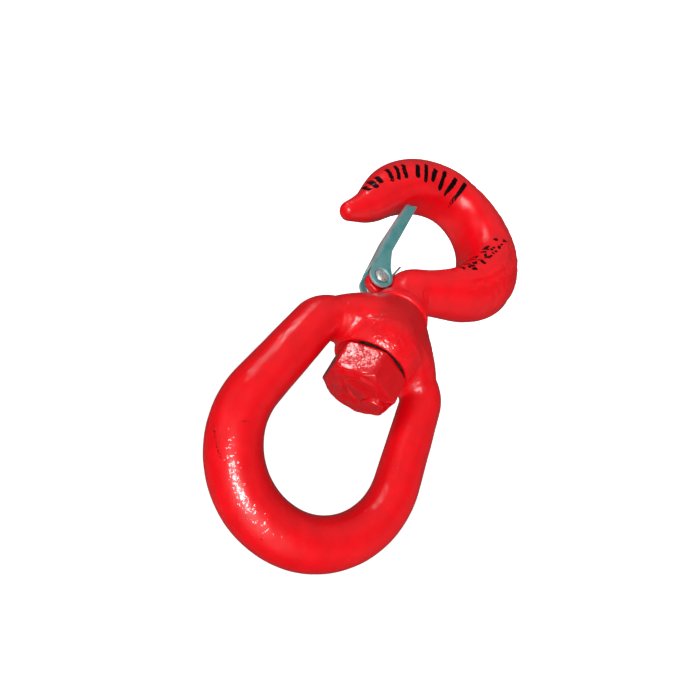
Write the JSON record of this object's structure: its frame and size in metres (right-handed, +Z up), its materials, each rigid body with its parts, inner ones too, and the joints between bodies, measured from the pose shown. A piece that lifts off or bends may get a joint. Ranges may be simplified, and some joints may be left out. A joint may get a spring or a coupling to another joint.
{
  "type": "swivel hook",
  "caption": "Forged lifting hook with a sprung safety latch, turning on a shank held by a nut inside a closed pear-shaped eye with a bell-shaped hub.",
  "frame": {"origin": "inside crest of the eye, where the shackle or ring above bears", "axes": "+Z up the load line; the eye lies in the XZ plane; the hook hangs below with its tip and latch towards +X, turned 6 degrees about Z as in the picture"},
  "size_m": [0.1061, 0.0434, 0.2355],
  "materials": {
    "eye_red_paint": "glossy thick red paint on forged steel",
    "hook_red_paint": "glossy thick red paint on forged steel",
    "nut_red_paint": "glossy thick red paint on steel",
    "weld_red_paint": "red paint over a lumpy weld bead",
    "latch_zinc": "blue-green zinc plate on pressed sheet steel",
    "rivet_steel": "bright peened steel",
    "spring_wire": "drawn spring wire"
  },
  "bodies": {
    "eye": {"eye_bail": "eye_red_paint"},
    "hook": {"hook_forging": "hook_red_paint", "hex_nut": "nut_red_paint", "nut_lock_weld": "weld_red_paint", "latch_rivet": "rivet_steel", "latch_spring": "spring_wire"},
    "latch": {"safety_latch": "latch_zinc"}
  },
  "joints": [
    {"name": "swivel", "type": "hinge", "parent": "eye", "child": "hook", "pos_m": [0, 0, -0.0806], "axis": [0, 0, 1], "continuous": true},
    {"name": "latch_pivot", "type": "hinge", "parent": "hook", "child": "latch", "pos_m": [0.0174, 0.00183, -0.1082], "axis": [-0.1045, 0.9945, 0], "range_deg": [0, 30], "stiffness_Nm_per_rad": 0.3, "springref_deg": -28.65, "deforming": ["latch_spring"]}
  ]
}
